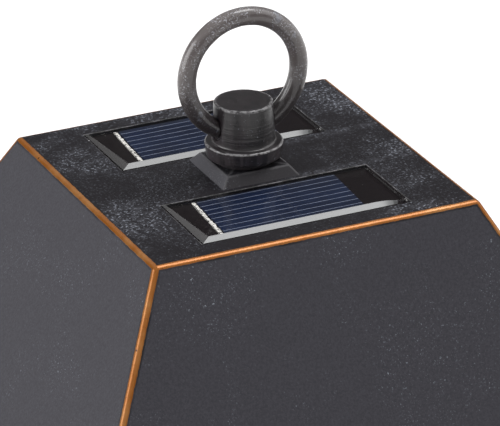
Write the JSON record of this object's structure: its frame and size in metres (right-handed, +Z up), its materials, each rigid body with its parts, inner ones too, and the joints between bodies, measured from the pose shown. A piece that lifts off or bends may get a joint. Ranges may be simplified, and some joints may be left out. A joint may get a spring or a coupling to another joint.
{
  "type": "solar lantern",
  "caption": "Square hipped-roof solar lantern with recessed solar panels on its flat top, a hanging ring through a turned post, glazed sides on corner posts and a low base.",
  "frame": {"origin": "on the floor, at the middle of the four feet", "axes": "+Z up through the ring post, -Y towards the front, +X to the right along the solar panels"},
  "size_m": [0.17, 0.17, 0.2479],
  "materials": {
    "roof_paint": "charcoal paint with fine pale dust specks, near-black on the flat top, and copper rubbed edges",
    "body_paint": "charcoal paint with fine pale specks and copper rubbed edges",
    "iron_paint": "near-black paint, satin, with faint pale scuffs",
    "panel_backing": "black board",
    "solar_cell": "dark blue silicon with thin pale finger lines",
    "tinned_metal": "bright tinned metal",
    "clear_resin": "clear glossy resin",
    "screw_steel": "zinc plated",
    "black_plastic": "fine grained black",
    "battery_wrap": "shrink wrap",
    "frosted_plastic": "frosted white",
    "lamp_board": "white solder mask",
    "lamp_lens": "yellow phosphor under a clear dome",
    "circuit_board": "green solder mask",
    "lead_insulation": "red insulation",
    "seeded_glass": "amber glass, lightly frosted",
    "foot_rubber": "black rubber"
  },
  "bodies": {
    "lantern": {"roof_shell": "roof_paint", "roof_floor": "body_paint", "side_frame_front": "body_paint", "side_frame_right": "body_paint", "side_frame_rear": "body_paint", "side_frame_left": "body_paint", "corner_post_front_left": "body_paint", "corner_post_front_right": "body_paint", "corner_post_rear_left": "body_paint", "corner_post_rear_right": "body_paint", "base_pan": "body_paint", "ring_post": "iron_paint", "panel_backing_front": "panel_backing", "panel_backing_rear": "panel_backing", "solar_cell_front": "solar_cell", "solar_cell_rear": "solar_cell", "cell_ribbon_front": "tinned_metal", "cell_ribbon_rear": "tinned_metal", "battery_spring": "tinned_metal", "battery_contact": "tinned_metal", "cell_resin_front": "clear_resin", "cell_resin_rear": "clear_resin", "post_washer": "screw_steel", "post_nut": "screw_steel", "door_pin": "screw_steel", "roof_screw_front_left": "screw_steel", "roof_screw_front_right": "screw_steel", "roof_screw_rear_left": "screw_steel", "roof_screw_rear_right": "screw_steel", "post_screw_front_left": "screw_steel", "post_screw_front_right": "screw_steel", "post_screw_rear_left": "screw_steel", "post_screw_rear_right": "screw_steel", "base_screw_front_left": "screw_steel", "base_screw_front_right": "screw_steel", "base_screw_rear_left": "screw_steel", "base_screw_rear_right": "screw_steel", "battery_holder": "black_plastic", "switch_body": "black_plastic", "battery_cell": "battery_wrap", "lamp_diffuser": "frosted_plastic", "lamp_board": "lamp_board", "lamp_emitter": "lamp_lens", "circuit_board": "circuit_board", "panel_lead_front": "lead_insulation", "panel_lead_rear": "lead_insulation", "battery_lead": "lead_insulation", "lamp_lead": "lead_insulation", "glass_pane_front": "seeded_glass", "glass_pane_right": "seeded_glass", "glass_pane_rear": "seeded_glass", "glass_pane_left": "seeded_glass", "foot_front_left": "foot_rubber", "foot_front_right": "foot_rubber", "foot_rear_left": "foot_rubber", "foot_rear_right": "foot_rubber"},
    "ring": {"hanging_ring": "iron_paint"},
    "switch": {"switch_slider": "black_plastic"},
    "door": {"battery_door": "black_plastic"}
  },
  "joints": [
    {"name": "ring_swing", "type": "hinge", "parent": "lantern", "child": "ring", "pos_m": [0, 0, 0.21242], "axis": [1, 0, 0], "range_deg": [-108, 108]},
    {"name": "switch_slide", "type": "slide", "parent": "lantern", "child": "switch", "axis": [1, 0, 0], "range_m": [0, 0.003]},
    {"name": "battery_door_hinge", "type": "hinge", "parent": "lantern", "child": "door", "pos_m": [0, 0.0724, 0.1282], "axis": [1, 0, 0], "range_deg": [0, 90]}
  ]
}
